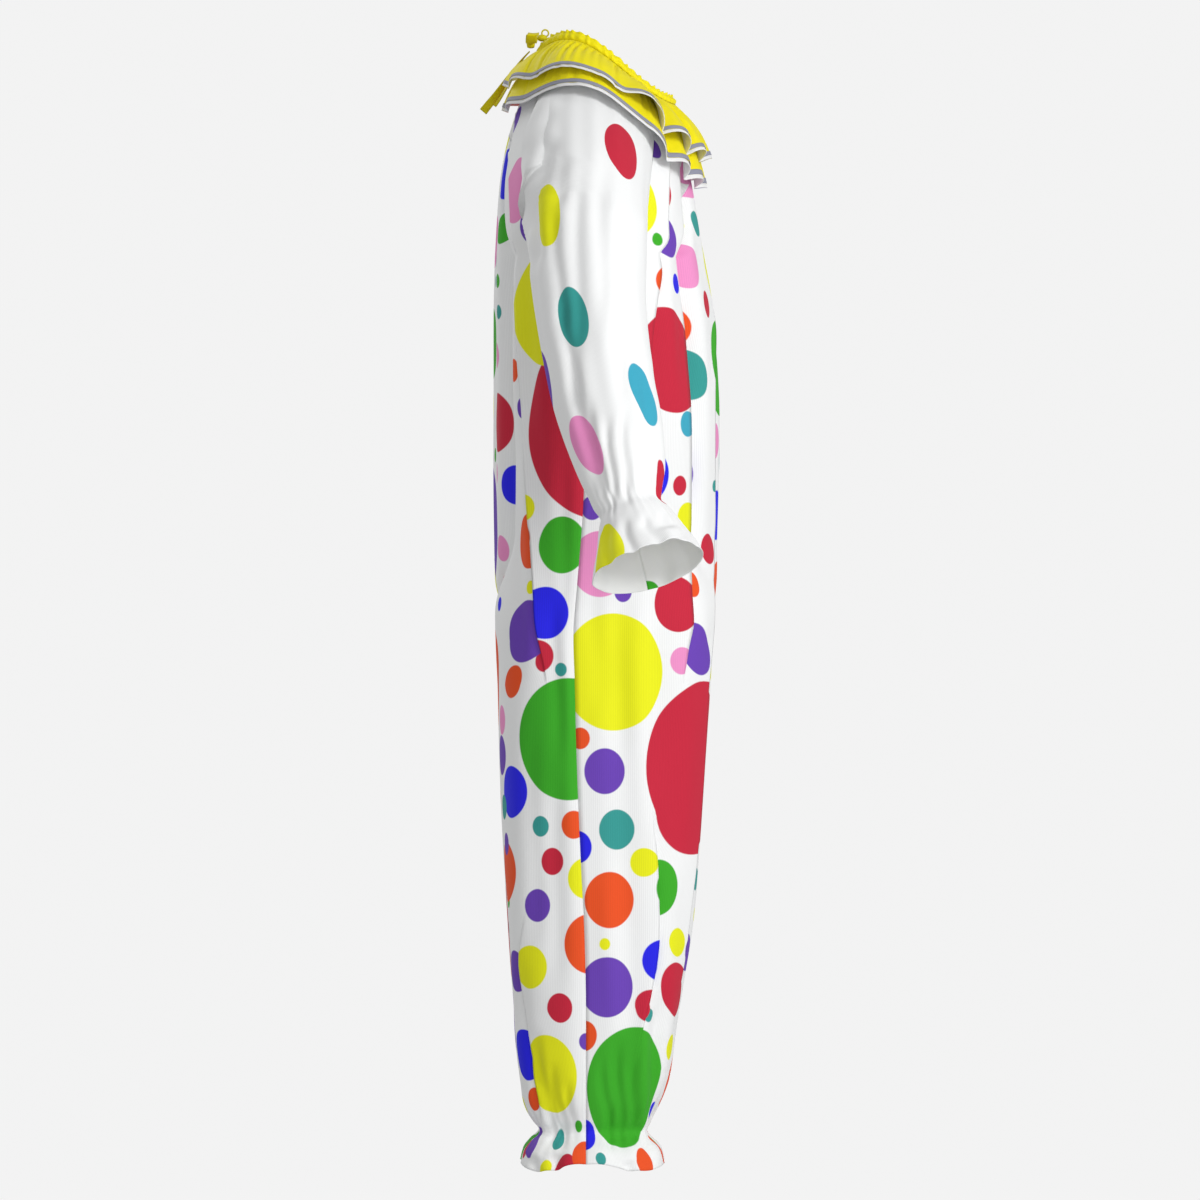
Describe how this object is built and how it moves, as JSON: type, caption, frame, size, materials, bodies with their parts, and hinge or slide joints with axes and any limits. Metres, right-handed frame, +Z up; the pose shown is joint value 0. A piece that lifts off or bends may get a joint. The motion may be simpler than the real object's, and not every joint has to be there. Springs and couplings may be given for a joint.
{
  "type": "clown costume",
  "caption": "One-piece clown jumpsuit in dotted cloth, with raglan sleeves, frilled elastic cuffs and ankles, a tiered ruffled collar and a ribbon tie at the back.",
  "frame": {"origin": "middle of the neck opening, where the garment hangs on the wearer's shoulders", "axes": "+Z up along the standing wearer, the wearer faces -Y, and the wearer's right side is at -X"},
  "size_m": [1.0332, 0.2992, 1.4216],
  "materials": {
    "dotted_cloth": "white polyester with a fine rib and printed round dots in many sizes and colours",
    "yellow_ruffle": "bright yellow gathered cloth, soft satin",
    "grey_band": "grey ribbon sewn on flat",
    "yellow_ribbon": "yellow ribbon, satin"
  },
  "bodies": {
    "root": {"front_right": "dotted_cloth", "front_left": "dotted_cloth", "back_right": "dotted_cloth", "back_left": "dotted_cloth", "sleeve_right": "dotted_cloth", "sleeve_left": "dotted_cloth", "collar_upper": "yellow_ruffle", "collar_lower": "yellow_ruffle", "neck_casing": "yellow_ruffle", "collar_upper_trim": "grey_band", "collar_lower_trim": "grey_band", "tie_knot": "yellow_ribbon", "tie_loop_right": "yellow_ribbon", "tie_loop_left": "yellow_ribbon", "tie_tail_right": "yellow_ribbon", "tie_tail_left": "yellow_ribbon"}
  },
  "joints": []
}
